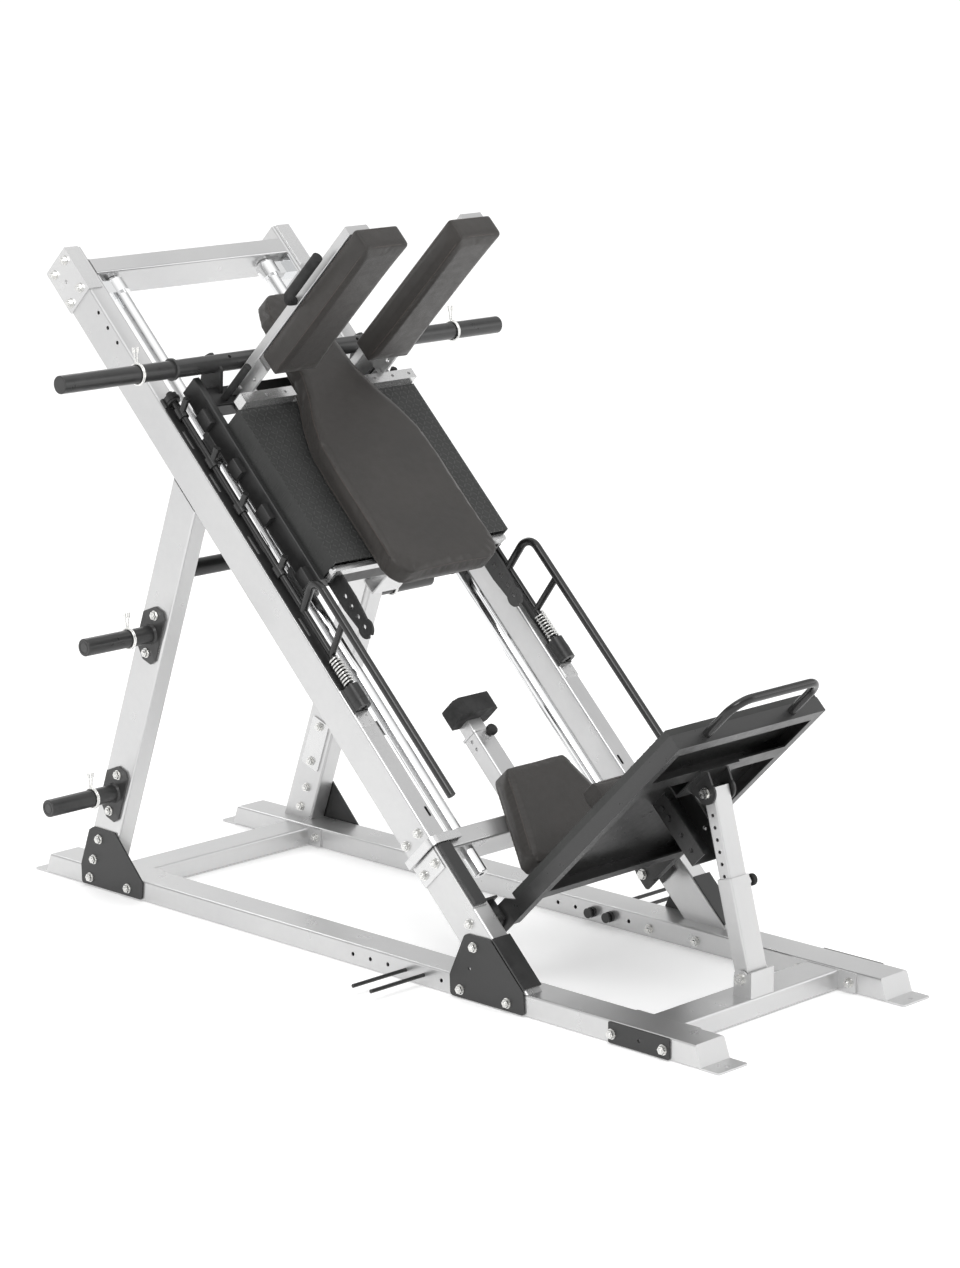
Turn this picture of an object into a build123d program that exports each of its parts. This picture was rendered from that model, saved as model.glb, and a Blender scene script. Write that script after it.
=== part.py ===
from build123d import *
import os
from math import sqrt, radians, degrees, sin, cos, tan, atan2, hypot

os.makedirs("parts", exist_ok=True)

# ----------------------------------------------------------------------------
# Plate-loaded 45 degree hack squat machine.
# X is lateral (the machine is symmetric about X = 0), Y runs from the footplate
# end (-Y) to the high end of the incline (+Y), Z is up and the floor is Z = 0.
# Along the incline two more directions are used: u runs up the slope and n is
# the slope's normal (up and towards the footplate end):
#     Y = (u - n) / sqrt2     Z = (u + n) / sqrt2
# All sizes are millimetres.
# ----------------------------------------------------------------------------

# --- driving dimensions -----------------------------------------------------
X_OUT = 394.7            # outer face of the rails, inclines and uprights
X_IN = 338.8             # inner face of the inclines and uprights
X_RAIL_IN = 291.7        # inner face of the base rails
TUBE_D = 103.0           # deep side of the main rectangular tube
WALL = 3.0
RAIL_H = 56.0            # height of the base rails
RAIL_Y0, RAIL_Y1 = -1180.0, 1184.9
TAB_Y = 1233.0           # ends of the bolt-down tabs
TAB_T = 5.0
TAB_HOLE_R = 6.5
N_BACK, N_FRONT = 382.8, 485.8      # incline tube, back and front face
U_TOP = 1947.8           # top end of the inclines
UPR_Y0, UPR_Z0, UPR_K = 600.2, 1069.1, 0.361   # upright centreline
ROD_X, ROD_N, ROD_R = 269.0, 447.3, 19.0       # guide rods
ROD_U0, ROD_U1 = -56.0, 1856.0
FIT = 0.05               # radial running clearance of shafts and rods
SLEEVE_R = 23.3          # weight sleeves and storage pegs
SLEEVE_X = 777.6
SLEEVE_U, SLEEVE_N = 1446.5, 599.2
PEG_X = 625.0
PEGS = {"lower": (883.1, 281.2), "upper": (718.1, 738.8)}
SAFE_X, SAFE_N, SAFE_R = 370.4, 506.4, 9.0     # safety bar shafts
HOOKS_U = (1371.5, 1210.2, 1061.5, 860.2)
HANDLE_X, HANDLE_N, HANDLE_R = 385.6, 615.5, 11.0
HINGE_U, HINGE_N = -167.2, 416.0    # footplate hinge
FP_X = 268.8             # half width of the footplate
FP_U0, FP_U1, FP_U2 = -206.0, -166.0, -150.0   # flange foot, deck, tread top
FP_N0, FP_N1 = 556.0, 1200.0        # deck ends
POST_LO = (-998.0, 96.2)            # post foot pivot (Y, Z)
POST_HI = (-880.0, 533.9)           # post head pivot (Y, Z)
CAR_X = 312.5            # half width of the carriage plate
CAR_N = 628.5            # front face of the carriage plate

R2 = sqrt(2.0)


def yz(u, n):
    return ((u - n) / R2, (u + n) / R2)


def at(x, u, n):
    y, z = yz(u, n)
    return Vector(x, y, z)


def across(u, x=0.0, n=0.0):
    """plane across the slope; local axes (X, n), normal down the slope"""
    return Plane(origin=at(x, u, n), x_dir=(1, 0, 0), z_dir=(0, -1, -1))


def side(x, u=0.0, n=0.0):
    """plane facing +X; local axes (u, n)"""
    return Plane(origin=at(x, u, n), x_dir=(0, 1, 1), z_dir=(1, 0, 0))


def face(n, x=0.0, u=0.0):
    """plane parallel to the slope; local axes (X, u), normal +n"""
    return Plane(origin=at(x, u, n), x_dir=(1, 0, 0), z_dir=(0, -1, 1))


def vert(x):
    """plane facing +X; local axes (Y, Z)"""
    return Plane.YZ.offset(x)


def lean(y, z, ang, x=0.0):
    """plane with normal along a line leaning back by ang degrees from vertical;
    local axes (X, across the line)"""
    a = radians(ang)
    return Plane(origin=(x, y, z), x_dir=(1, 0, 0), z_dir=(0, sin(a), cos(a)))


def corner(sk, px, py):
    """the sketch vertex nearest to a local point"""
    return sorted(sk.vertices(), key=lambda q: hypot(q.X - px, q.Y - py))[0]


def block(plane, x0, x1, y0, y1, length, r=0.0, mode=Mode.ADD):
    """rectangle x0..x1 by y0..y1 on a plane, extruded along its normal"""
    with BuildSketch(plane) as sk:
        with Locations(((x0 + x1) / 2, (y0 + y1) / 2)):
            if r > 0:
                RectangleRounded(abs(x1 - x0), abs(y1 - y0), r)
            else:
                Rectangle(abs(x1 - x0), abs(y1 - y0))
    extrude(sk.sketch, amount=length, mode=mode)


def shape(plane, pts, length, r=0.0, radii=None, mode=Mode.ADD):
    """closed polygon on a plane, corners rounded by r, extruded"""
    with BuildSketch(plane) as sk:
        with BuildLine():
            Polyline(*pts, close=True)
        make_face()
        if radii:
            for (px, py), rr in radii:
                fillet(corner(sk, px, py), rr)
        elif r > 0:
            fillet(sk.vertices(), r)
    extrude(sk.sketch, amount=length, mode=mode)


def disc(plane, r, length, x=0.0, y=0.0, mode=Mode.ADD):
    with BuildSketch(plane) as sk:
        with Locations((x, y)):
            Circle(r)
    extrude(sk.sketch, amount=length, mode=mode)


def slot(plane, w, r, x, y, length, rot=0.0, mode=Mode.ADD):
    """rounded slot shape of total length w and end radius r"""
    with BuildSketch(plane) as sk:
        with Locations(Location((x, y, 0), (0, 0, rot))):
            SlotOverall(w, 2 * r)
    extrude(sk.sketch, amount=length, mode=mode)


def tube(plane, w, h, length, wall=WALL, r=6.0, x=0.0, y=0.0, mode=Mode.ADD):
    """rectangular tube section on a plane, extruded along its normal"""
    with BuildSketch(plane) as sk:
        with Locations((x, y)):
            RectangleRounded(w, h, r)
            RectangleRounded(w - 2 * wall, h - 2 * wall, max(r - wall, 1.0), mode=Mode.SUBTRACT)
    extrude(sk.sketch, amount=length, mode=mode)


def finish(builder, name):
    builder.part.label = name
    export_step(builder.part, "parts/%s.step" % name)


def pair(builder, name):
    """write a left-hand piece (-X) and its mirror image (+X)"""
    finish(builder, name + "_l")
    with BuildPart() as other:
        mirror(builder.part, about=Plane.YZ)
    finish(other, name + "_r")
    return other


def both(builder, name, *more):
    """write a left-hand piece and its mirror image as one node of separate solids"""
    with BuildPart() as two:
        add(builder.part)
        mirror(builder.part, about=Plane.YZ)
        for m in more:
            add(m.part)
    finish(two, name)
    return two


# ============================================================================
# FIXED FRAME
# ============================================================================

# --- base rail: closed rectangular tube, slanted ends, bolt-down tabs ---------
RAIL_HOLES = [-27.1, -89.6, -152.1, -214.6, -277.1, -339.6]
XC = -(X_OUT + X_RAIL_IN) / 2
RW = X_OUT - X_RAIL_IN
with BuildPart() as base_rail:
    block(Plane(origin=(XC, RAIL_Y0, 0), x_dir=(1, 0, 0), z_dir=(0, 1, 0)),
          -RW / 2, RW / 2, -RAIL_H, 0, RAIL_Y1 - RAIL_Y0, r=6)
    # slanted ends
    shape(vert(-X_OUT - 1), [(RAIL_Y0 - 5, -1), (RAIL_Y0, 0), (RAIL_Y0 + 20, RAIL_H), (RAIL_Y0 + 20, RAIL_H + 5), (RAIL_Y0 - 5, RAIL_H + 5)],
          RW + 2, mode=Mode.SUBTRACT)
    shape(vert(-X_OUT - 1), [(RAIL_Y1 + 5, -1), (RAIL_Y1, 0), (RAIL_Y1 - 20, RAIL_H), (RAIL_Y1 - 20, RAIL_H + 5), (RAIL_Y1 + 5, RAIL_H + 5)],
          RW + 2, mode=Mode.SUBTRACT)
    # hollow inside, closed at both ends
    block(Plane(origin=(XC, RAIL_Y0 + 26, 0), x_dir=(1, 0, 0), z_dir=(0, 1, 0)),
          -RW / 2 + WALL, RW / 2 - WALL, -RAIL_H + WALL, -WALL, RAIL_Y1 - RAIL_Y0 - 52, r=3, mode=Mode.SUBTRACT)
    # bolt-down tabs
    block(Plane.XY, -X_OUT, -X_RAIL_IN, -TAB_Y, RAIL_Y0 + 12, TAB_T, r=5.5)
    block(Plane.XY, -X_OUT, -X_RAIL_IN, RAIL_Y1 - 12, TAB_Y, TAB_T, r=5.5)
    disc(Plane.XY.offset(-1), TAB_HOLE_R, TAB_T + 2, x=XC, y=-1213.5, mode=Mode.SUBTRACT)
    disc(Plane.XY.offset(-1), TAB_HOLE_R, TAB_T + 2, x=XC, y=1213.5, mode=Mode.SUBTRACT)
    for yy in RAIL_HOLES:
        disc(vert(-X_OUT - 1), 5.3, RW + 2, x=yy, y=29.1, mode=Mode.SUBTRACT)
pair(base_rail, "base_rail")

# --- front and rear cross-members: tube between two bolt flanges --------------
def cross_member(yc, y0, y1):
    tube(Plane(origin=(-285.7, yc, 28), x_dir=(0, 1, 0), z_dir=(1, 0, 0)), TUBE_D, 50, 571.4)
    for x0 in (-291.7, 285.7):
        block(vert(x0), y0, y1, 2.5, 54, 6.0, r=4)


with BuildPart() as rear_crossmember:
    cross_member(913.1, 815.0, 1011.0)
finish(rear_crossmember, "rear_crossmember")

CLEV_T = 5.0
with BuildPart() as front_crossmember:
    cross_member(-982.5, -1088.0, -884.0)

# --- clevis for the foot of the support post ----------------------------------
with BuildPart() as post_clevis:
    for x0 in (-42.0, 37.0):
        with BuildSketch(vert(x0)) as sk:
            with BuildLine():
                Polyline((-1031, 53), (-976, 53), (-976, 96.2), (-1031, 118), close=True)
            make_face()
            with Locations((POST_LO[0], POST_LO[1])):
                Circle(22)
            with Locations((POST_LO[0], POST_LO[1])):
                Circle(8.05, mode=Mode.SUBTRACT)
        extrude(sk.sketch, amount=CLEV_T)
    block(Plane(origin=(0, -1031, 0), x_dir=(1, 0, 0), z_dir=(0, -1, 0)).offset(-CLEV_T), -42, 42, 53, 118, CLEV_T)
with BuildPart() as front_beam:
    add([front_crossmember.part, post_clevis.part])
finish(front_beam, "front_crossmember")

# --- incline rails -------------------------------------------------------------
with BuildPart() as incline:
    with BuildSketch(across(U_TOP, x=-(X_OUT + X_IN) / 2, n=(N_BACK + N_FRONT) / 2)) as sk:
        RectangleRounded(X_OUT - X_IN, TUBE_D, 6)
    extrude(sk.sketch, amount=2560)
    with BuildSketch(across(U_TOP - 4, x=-(X_OUT + X_IN) / 2, n=(N_BACK + N_FRONT) / 2)) as sk2:
        RectangleRounded(X_OUT - X_IN - 2 * WALL, TUBE_D - 2 * WALL, 3)
    extrude(sk2.sketch, amount=2560, mode=Mode.SUBTRACT)
    split(bisect_by=Plane.XY.offset(RAIL_H), keep=Keep.TOP)
    for (yy, zz) in ((901.8, 1563.5), (866.2, 1527.0), (829.6, 1492.0)):
        disc(vert(-X_OUT - 1), 5.2, X_OUT - X_IN + 2, x=yy, y=zz, mode=Mode.SUBTRACT)
    # short slot in the front wall above the mid cross-member
    slot(face(N_FRONT - 5), 30, 4, -352, 128, 8, rot=90, mode=Mode.SUBTRACT)
pair(incline, "incline_rail")

# --- rear uprights -------------------------------------------------------------
def upr_y(z):
    return UPR_Y0 + UPR_K * (UPR_Z0 - z)


UPR_ANG = degrees(atan2(UPR_K, 1.0))
with BuildPart() as upright:
    p0 = lean(upr_y(0), 0, -UPR_ANG, x=-(X_OUT + X_IN) / 2)
    with BuildSketch(p0) as sk:
        RectangleRounded(X_OUT - X_IN, TUBE_D, 6)
    extrude(sk.sketch, amount=1300)
    with BuildSketch(p0) as sk2:
        RectangleRounded(X_OUT - X_IN - 2 * WALL, TUBE_D - 2 * WALL, 3)
    extrude(sk2.sketch, amount=1300, mode=Mode.SUBTRACT)
    split(bisect_by=Plane.XY.offset(RAIL_H), keep=Keep.TOP)
    split(bisect_by=face(N_BACK), keep=Keep.BOTTOM)
pair(upright, "rear_upright")

# --- mid cross-member between the inclines; the guide rods pass through it ------
with BuildPart() as mid_crossmember:
    tube(Plane(origin=at(-X_IN, 40.2, (N_BACK + N_FRONT) / 2), x_dir=(0, 1, 1), z_dir=(1, 0, 0)), 50, TUBE_D, 2 * X_IN)
    for s in (-1, 1):
        disc(across(80, x=s * ROD_X, n=ROD_N), ROD_R + FIT, 90, mode=Mode.SUBTRACT)

with BuildPart() as top_crossbar:
    tube(Plane(origin=at(-X_IN, 1882.2, (N_BACK + N_FRONT) / 2), x_dir=(0, 1, 1), z_dir=(1, 0, 0)), 51.0, TUBE_D, 2 * X_IN)
with BuildPart() as incline_crossmembers:
    add([mid_crossmember.part, top_crossbar.part])
finish(incline_crossmembers, "incline_crossmembers")

with BuildPart() as upright_tie:
    with BuildSketch(vert(-X_IN)) as sk:
        with Locations((658.1, 908.8)):
            Circle(SLEEVE_R)
            Circle(SLEEVE_R - 3, mode=Mode.SUBTRACT)
    extrude(sk.sketch, amount=2 * X_IN)
    for x0 in (-X_IN, X_IN - 5):
        with BuildSketch(vert(x0)) as sk:
            with Locations((658.1, 908.8)):
                Circle(34)
                Circle(SLEEVE_R - 3, mode=Mode.SUBTRACT)
        extrude(sk.sketch, amount=5)
finish(upright_tie, "upright_tie_tube")

# --- gussets -------------------------------------------------------------------
GT = 5.0
with BuildPart() as front_gusset:
    shape(vert(-X_OUT - GT), [(-425.6, 168.8), (-510.6, 170.0), (-620.6, 61.2), (-624.4, 3.8), (-375.0, 2.5), (-373.1, 55.0)],
          GT, radii=[((-425.6, 168.8), 18), ((-510.6, 170.0), 10), ((-624.4, 3.8), 8), ((-375.0, 2.5), 10), ((-373.1, 55.0), 14), ((-620.6, 61.2), 8)])
    block(side(-X_OUT - GT), -392, -243, N_FRONT, N_FRONT + GT, X_OUT + GT - X_IN)
    disc(vert(-X_OUT - GT - 1), 4.5, GT + 2, x=-441.5, y=82.0, mode=Mode.SUBTRACT)

with BuildPart() as rear_gusset:
    shape(vert(-X_OUT - GT), [(974.4, 170.0), (885.0, 168.8), (775.6, 52.5), (780.6, 5.0), (1026.9, 5.0), (1028.1, 58.1), (990.6, 160.0)],
          GT, radii=[((974.4, 170.0), 8), ((885.0, 168.8), 10), ((775.6, 52.5), 8), ((780.6, 5.0), 8), ((1026.9, 5.0), 8)])
both(rear_gusset, "rear_gussets")

with BuildPart() as front_joint_plates:
    for x0 in (-X_OUT - GT, X_OUT):
        block(vert(x0), -1085.6, -895.6, 2.5, 54.5, GT, r=4)
        disc(vert(x0 - 1), 4.5, GT + 2, x=-991.9, y=27.5, mode=Mode.SUBTRACT)
both(front_gusset, "front_gussets", front_joint_plates)

# --- top plates: bent round the top of each incline -----------------------------
PT = 4.0
with BuildPart() as top_plate:
    shape(side(-X_OUT - PT), [(1809.0, N_BACK), (1947.8, N_BACK), (1947.8, N_FRONT + PT), (1809.0, N_FRONT + PT)],
          PT, radii=[((1947.8, N_BACK), 6), ((1809.0, N_BACK), 4)])
    block(side(-X_OUT), 1809.0, 1947.8, N_FRONT, N_FRONT + PT, 42.0)
    y, z = 1025.1, 1634.0
    disc(vert(-X_OUT - PT - 1), 5.0, PT + 2, x=y, y=z, mode=Mode.SUBTRACT)


# --- guide rods -----------------------------------------------------------------
with BuildPart() as guide_rod:
    disc(across(ROD_U1, x=-ROD_X, n=ROD_N), ROD_R, ROD_U1 - ROD_U0)
    chamfer(guide_rod.edges().filter_by(GeomType.CIRCLE), 1.5)
    disc(across(ROD_U0 + 10, x=-ROD_X, n=ROD_N), 7, 20, mode=Mode.SUBTRACT)
both(guide_rod, "guide_rods")

with BuildPart() as rod_clamps:
    for s in (-1, 1):
        disc(across(1845, x=s * ROD_X, n=ROD_N), 28, 40)
        block(across(1845), s * ROD_X, s * X_IN, ROD_N - 16, ROD_N + 16, 40)
        x0 = s * X_IN if s < 0 else X_IN - 5
        block(side(x0), 1790, 1852, ROD_N - 44, ROD_N + 34, 5)
        disc(across(1850, x=s * ROD_X, n=ROD_N), ROD_R + FIT, 60, mode=Mode.SUBTRACT)
finish(rod_clamps, "rod_top_clamps")

# --- saddle brackets at the lower end of the guide rods ---------------------------
with BuildPart() as rod_saddle:
    # lower plate on the outer face
    block(side(-X_OUT - PT), -26, 33, N_BACK + 2, N_FRONT - 6, PT, r=2)
    # front flange that runs down the face of the incline
    block(face(N_FRONT), -X_OUT - PT, -350, -152, 40, PT)
    # folded strap over the outer and front faces
    S0, S1 = 33.0, 55.0
    OFF, ST = 16.0, 5.0
    with BuildSketch(across(S1)) as sk:
        with BuildLine():
            Polyline((-X_OUT - OFF, N_BACK), (-X_OUT - OFF, N_FRONT + OFF), (-312, N_FRONT + OFF), (-312, N_FRONT + OFF - ST),
                     (-X_OUT - OFF + ST, N_FRONT + OFF - ST), (-X_OUT - OFF + ST, N_BACK), close=True)
        make_face()
        fillet(corner(sk, -X_OUT - OFF, N_FRONT + OFF), 24)
        fillet(corner(sk, -X_OUT - OFF + ST, N_FRONT + OFF - ST), 19)
    extrude(sk.sketch, amount=S1 - S0)
    # web that closes the upper side of the strap
    with BuildSketch(across(S1)) as sk:
        with BuildLine():
            Polyline((-X_OUT - OFF + 1, N_BACK), (-X_OUT - OFF + 1, N_FRONT + OFF - 24), (-X_OUT + 8, N_FRONT + OFF - 1), (-312, N_FRONT + OFF - 1), (-312, N_FRONT),
                     (-X_OUT, N_FRONT), (-X_OUT, N_BACK), close=True)
        make_face()
    extrude(sk.sketch, amount=5.0)
    # end foot on the front face of the mid cross-member
    block(across(S1), -318, -312, N_FRONT, N_FRONT + OFF, S1 - S0)
both(rod_saddle, "rod_saddles")

# --- storage pegs ------------------------------------------------------------------
FL_T = 6.0
for pname, (py, pz) in PEGS.items():
    with BuildPart() as storage_peg:
        pl = Plane(origin=(-X_OUT, py, pz), x_dir=(0, -sin(radians(UPR_ANG)), cos(radians(UPR_ANG))), z_dir=(-1, 0, 0))
        with BuildSketch(pl) as sk:
            with BuildLine():
                Polyline((-78, -26), (-62, -38), (62, -38), (78, -26), (78, 8), (46, 44), (-46, 44), (-78, 8), close=True)
            make_face()
            fillet(sk.vertices(), 6)
        extrude(sk.sketch, amount=FL_T)
        with BuildSketch(pl) as sk:
            Circle(SLEEVE_R)
        extrude(sk.sketch, amount=PEG_X - X_OUT)
        tip = storage_peg.faces().sort_by(Axis.X)[0]
        fillet(tip.edges(), 3.0)
        with BuildSketch(pl.offset(PEG_X - X_OUT)) as sk:
            Circle(SLEEVE_R - 8)
            Circle(SLEEVE_R - 10, mode=Mode.SUBTRACT)
        extrude(sk.sketch, amount=-1.0, mode=Mode.SUBTRACT)
        # weld gusset rings
        with BuildSketch(pl.offset(FL_T)) as sk:
            Circle(SLEEVE_R + 4)
        extrude(sk.sketch, amount=6, taper=30)
    both(storage_peg, "storage_pegs_" + pname)

with BuildPart() as peg_backing_plates:
    for s in (-1, 1):
        for pname, (py, pz) in PEGS.items():
            x0 = s * X_IN if s > 0 else -X_IN + 0
            pl = Plane(origin=(s * X_IN, py, pz), x_dir=(0, -sin(radians(UPR_ANG)), cos(radians(UPR_ANG))), z_dir=(-s, 0, 0))
            with BuildSketch(pl) as sk:
                RectangleRounded(150, 66, 6)
            extrude(sk.sketch, amount=4.0)
finish(peg_backing_plates, "peg_backing_plates")

# --- band pegs ----------------------------------------------------------------------
with BuildPart() as band_pegs:
    for s in (-1, 1):
        for yy in (-214.6, -277.1):
            a = Plane(origin=(s * X_RAIL_IN, yy, 29.1), x_dir=(0, 1, 0), z_dir=(s, 0, 0))
            with BuildSketch(a.offset(-20)) as sk:
                Circle(5.0)
            extrude(sk.sketch, amount=575 - X_RAIL_IN + 20)
            with BuildSketch(a) as sk:
                Circle(14)
            extrude(sk.sketch, amount=-10)
            with BuildSketch(a.offset(-10)) as sk:
                Circle(11)
            extrude(sk.sketch, amount=-12, taper=-12)
finish(band_pegs, "band_pegs")

# --- footplate hinge brackets and pins --------------------------------------------------
HY, HZ = yz(HINGE_U, HINGE_N)
with BuildPart() as hinge_brackets:
    for s in (-1, 1):
        xe = 271.5 if s > 0 else -277.5
        with BuildSketch(side(xe)) as sk:
            with Locations((HINGE_U, HINGE_N)):
                Circle(24)
            with Locations((HINGE_U + 14, HINGE_N)):
                Rectangle(60, 48)
            with Locations((HINGE_U, HINGE_N)):
                Circle(10.05, mode=Mode.SUBTRACT)
        extrude(sk.sketch, amount=6)
        # web and base on the inner face of the incline
        x0, x1 = sorted((s * 271.5, s * X_IN))
        block(side(x0), HINGE_U + 38, HINGE_U + 44, HINGE_N - 24, HINGE_N + 40, x1 - x0)
        xb = X_IN - 6 if s > 0 else -X_IN
        block(side(xb), HINGE_U - 30, HINGE_U + 44, HINGE_N - 24, HINGE_N + 40, 6)
        disc(side(xb - 1, HINGE_U, HINGE_N), 10.05, 8, mode=Mode.SUBTRACT)
finish(hinge_brackets, "hinge_brackets")

with BuildPart() as hinge_pins:
    for s in (-1, 1):
        a = Plane(origin=(s * 253.0, HY, HZ), x_dir=(0, 1, 0), z_dir=(s, 0, 0))
        with BuildSketch(a) as sk:
            RegularPolygon(12.5, 6, major_radius=True)
        extrude(sk.sketch, amount=8)
        with BuildSketch(a.offset(8)) as sk:
            Circle(14)
        extrude(sk.sketch, amount=2)
        with BuildSketch(a.offset(10)) as sk:
            Circle(10.0)
        extrude(sk.sketch, amount=X_IN - 253.0 - 10.0)

# --- safety bar bearings and wear strips ---------------------------------------------------
with BuildPart() as safety_bearings:
    for s in (-1, 1):
        for (u0, u1, r) in ((431.5, 500.0, 20.0), (1405.0, 1432.0, 17.0)):
            block(across(u1), s * SAFE_X - 22, s * SAFE_X + 22, N_FRONT, N_FRONT + 9, u1 - u0, r=2)
            block(across(u1 - 2), s * SAFE_X - r, s * SAFE_X + r, N_FRONT + 5, SAFE_N, u1 - u0 - 4)
            disc(across(u1 - 2, x=s * SAFE_X, n=SAFE_N), r, u1 - u0 - 4)
            disc(across(u1 - 2 - (u1 - u0) * 0.40, x=s * SAFE_X, n=SAFE_N), min(r + 2.5, 20.5), (u1 - u0) * 0.22)
            disc(across(u1 + 5, x=s * SAFE_X, n=SAFE_N), SAFE_R + FIT, u1 - u0 + 10, mode=Mode.SUBTRACT)

with BuildPart() as safety_foot_plates:
    for s in (-1, 1):
        block(face(N_FRONT), s * SAFE_X - 22, s * SAFE_X + 22, 392.0, 431.5, 3.0, r=3)
        for (dx, uu) in ((-13, 421), (13, 421), (-13, 402), (13, 402)):
            disc(face(N_FRONT + 3), 3.2, 2.2, x=s * SAFE_X + dx, y=uu)
finish(safety_bearings, "safety_bearings")

both(top_plate, "top_plates", safety_foot_plates)

with BuildPart() as safety_strip:
    block(across(1402.0), -X_OUT + 1.0, -358.0, N_FRONT, N_FRONT + 3.5, 1402.0 - 505.0)
    # wear bar on the saddle's front flange
    block(across(31.0), -X_OUT + 2.0, -353.0, N_FRONT + PT, N_FRONT + PT + 9.0, 178.0, r=2)
    # oblong holes along the strip
    for uu in (700, 960, 1160, 1300):
        slot(face(N_FRONT - 1), 60, 4, -382, uu, 6, rot=90, mode=Mode.SUBTRACT)
both(safety_strip, "safety_strips")

# --- seat post, outer tube, and its pull pin -------------------------------------------------
SP_N0, SP_N1 = 407.2, 458.5
SP_NC = (SP_N0 + SP_N1) / 2
with BuildPart() as seat_post_outer:
    tube(across(324.0), 60, SP_N1 - SP_N0, 324.0 - 65.2, wall=4.5, r=6, y=SP_NC)
    block(across(324.0), -32.5, 32.5, SP_N0 - 2.5, SP_N1 + 2.5, 6, r=8)
    block(across(330.0), -25.5, 25.5, SP_N0 + 4.5, SP_N1 - 4.5, 20, mode=Mode.SUBTRACT)
    for uu in (281.5, 304.0):
        disc(side(-40, uu, SP_NC), 5.0, 14, mode=Mode.SUBTRACT)
    disc(face(SP_N1 - 6, x=0, u=300.0), 5.3, 12, mode=Mode.SUBTRACT)

with BuildPart() as seat_mount:
    block(face(N_FRONT + 1.0), -70, 70, -60, 110, 4.0, r=6)
    block(face(SP_N1), -24, 24, 68, 108, N_FRONT + 1.0 - SP_N1)
    block(face(N_FRONT), -60, 60, 18, 62, 1.0)
finish(seat_mount, "seat_mount_plate")

SEAT_N0, SEAT_N1 = 491.5, 556.0
with BuildPart() as seat_pad:
    shape(face(SEAT_N0), [(-104, 157.8), (104, 157.8), (113, 140), (193, -92), (186, -118), (-186, -118), (-193, -92), (-113, 140)],
          SEAT_N1 - SEAT_N0,
          radii=[((-104, 157.8), 12), ((104, 157.8), 12), ((193, -92), 14), ((186, -118), 20), ((-186, -118), 20), ((-193, -92), 14)])
finish(seat_pad, "seat_pad")

# --- frame bolts: washer and domed head, one solid each ----------------------------------------
with BuildPart() as bolt_m12:
    with BuildSketch(Plane.XY) as sk:
        Circle(13)
    extrude(sk.sketch, amount=2.2)
    with BuildSketch(Plane.XY.offset(2.2)) as sk:
        RegularPolygon(10.8, 6, major_radius=True)
    extrude(sk.sketch, amount=7)
    with BuildSketch(Plane.XY.offset(9.2)) as sk:
        Circle(6)
    extrude(sk.sketch, amount=3)
    chamfer(bolt_m12.faces().sort_by(Axis.Z)[-1].edges(), 1.2)


def out_plane(s, x, y, z, inward=False):
    d = -s if inward else s
    return Plane(origin=(s * x, y, z), x_dir=(0, 1, 0), z_dir=(d, 0, 0))


bolt_places = []
for s in (-1, 1):
    for (yy, zz) in ((-455.1, 139.8), (-410.2, 23.2), (-567.6, 23.9)):
        bolt_places.append(out_plane(s, X_OUT + GT, yy, zz))
    bolt_places.append(out_plane(s, X_OUT, -436.6, 193.2))
    for (yy, zz) in ((949.8, 139.9), (974.1, 79.5), (991.2, 26.1), (836.0, 25.9)):
        bolt_places.append(out_plane(s, X_OUT + GT, yy, zz))
    for (yy, zz) in ((-906.9, 25.5), (-1067.0, 24.5)):
        bolt_places.append(out_plane(s, X_OUT + GT, yy, zz))
        bolt_places.append(out_plane(s, 285.7, yy, zz + 2, inward=True))
    for (yy, zz) in ((1031.1, 1689.4), (1074.4, 1647.4), (970.7, 1623.0), (1011.2, 1579.1)):
        bolt_places.append(out_plane(s, X_OUT + PT, yy, zz))
    for (uu, nn, xx) in ((89.0, 458.5, X_OUT), (89.0, 402.0, X_OUT), (0.0, 459.0, X_OUT + PT), (0.0, 405.0, X_OUT + PT)):
        yy, zz = yz(uu, nn)
        bolt_places.append(out_plane(s, xx, yy, zz))
    for (yy, zz) in ((-410.2, 23.2), (-567.6, 23.9)):
        bolt_places.append(out_plane(s, X_RAIL_IN, yy, zz, inward=True))
    for (yy, zz) in ((835.0, 28.0), (991.0, 28.0)):
        bolt_places.append(out_plane(s, 285.7, yy, zz, inward=True))
    for (yy, zz) in ((924.4, 147.5), (950.6, 87.5)):
        bolt_places.append(out_plane(s, X_IN, yy, zz, inward=True))
    ca, sa = cos(radians(UPR_ANG)), sin(radians(UPR_ANG))
    for pname, (py, pz) in PEGS.items():
        for t in (-56, 56):
            bolt_places.append(out_plane(s, X_OUT + FL_T, py - t * sa, pz + t * ca))
            bolt_places.append(out_plane(s, X_IN - 4.0, py - t * sa, pz + t * ca, inward=True))
with BuildPart() as frame_bolts:
    add([bolt_m12.part.moved(p.location) for p in bolt_places])
finish(frame_bolts, "frame_bolts")

# --- post foot pivot bolt ---------------------------------------------------------------------------
with BuildPart() as post_foot_bolt:
    a = Plane(origin=(-54.0, POST_LO[0], POST_LO[1]), x_dir=(0, 1, 0), z_dir=(1, 0, 0))
    with BuildSketch(a) as sk:
        RegularPolygon(12.5, 6, major_radius=True)
    extrude(sk.sketch, amount=9)
    with BuildSketch(a.offset(9)) as sk:
        Circle(14)
    extrude(sk.sketch, amount=3)
    with BuildSketch(a.offset(12)) as sk:
        Circle(8.0)
    extrude(sk.sketch, amount=84)
    with BuildSketch(a.offset(96)) as sk:
        Circle(14)
    extrude(sk.sketch, amount=3)
    with BuildSketch(a.offset(99)) as sk:
        RegularPolygon(12.5, 6, major_radius=True)
    extrude(sk.sketch, amount=9)
with BuildPart() as pivot_bolts:
    add([hinge_pins.part, post_foot_bolt.part])
finish(pivot_bolts, "pivot_bolts")

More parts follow.
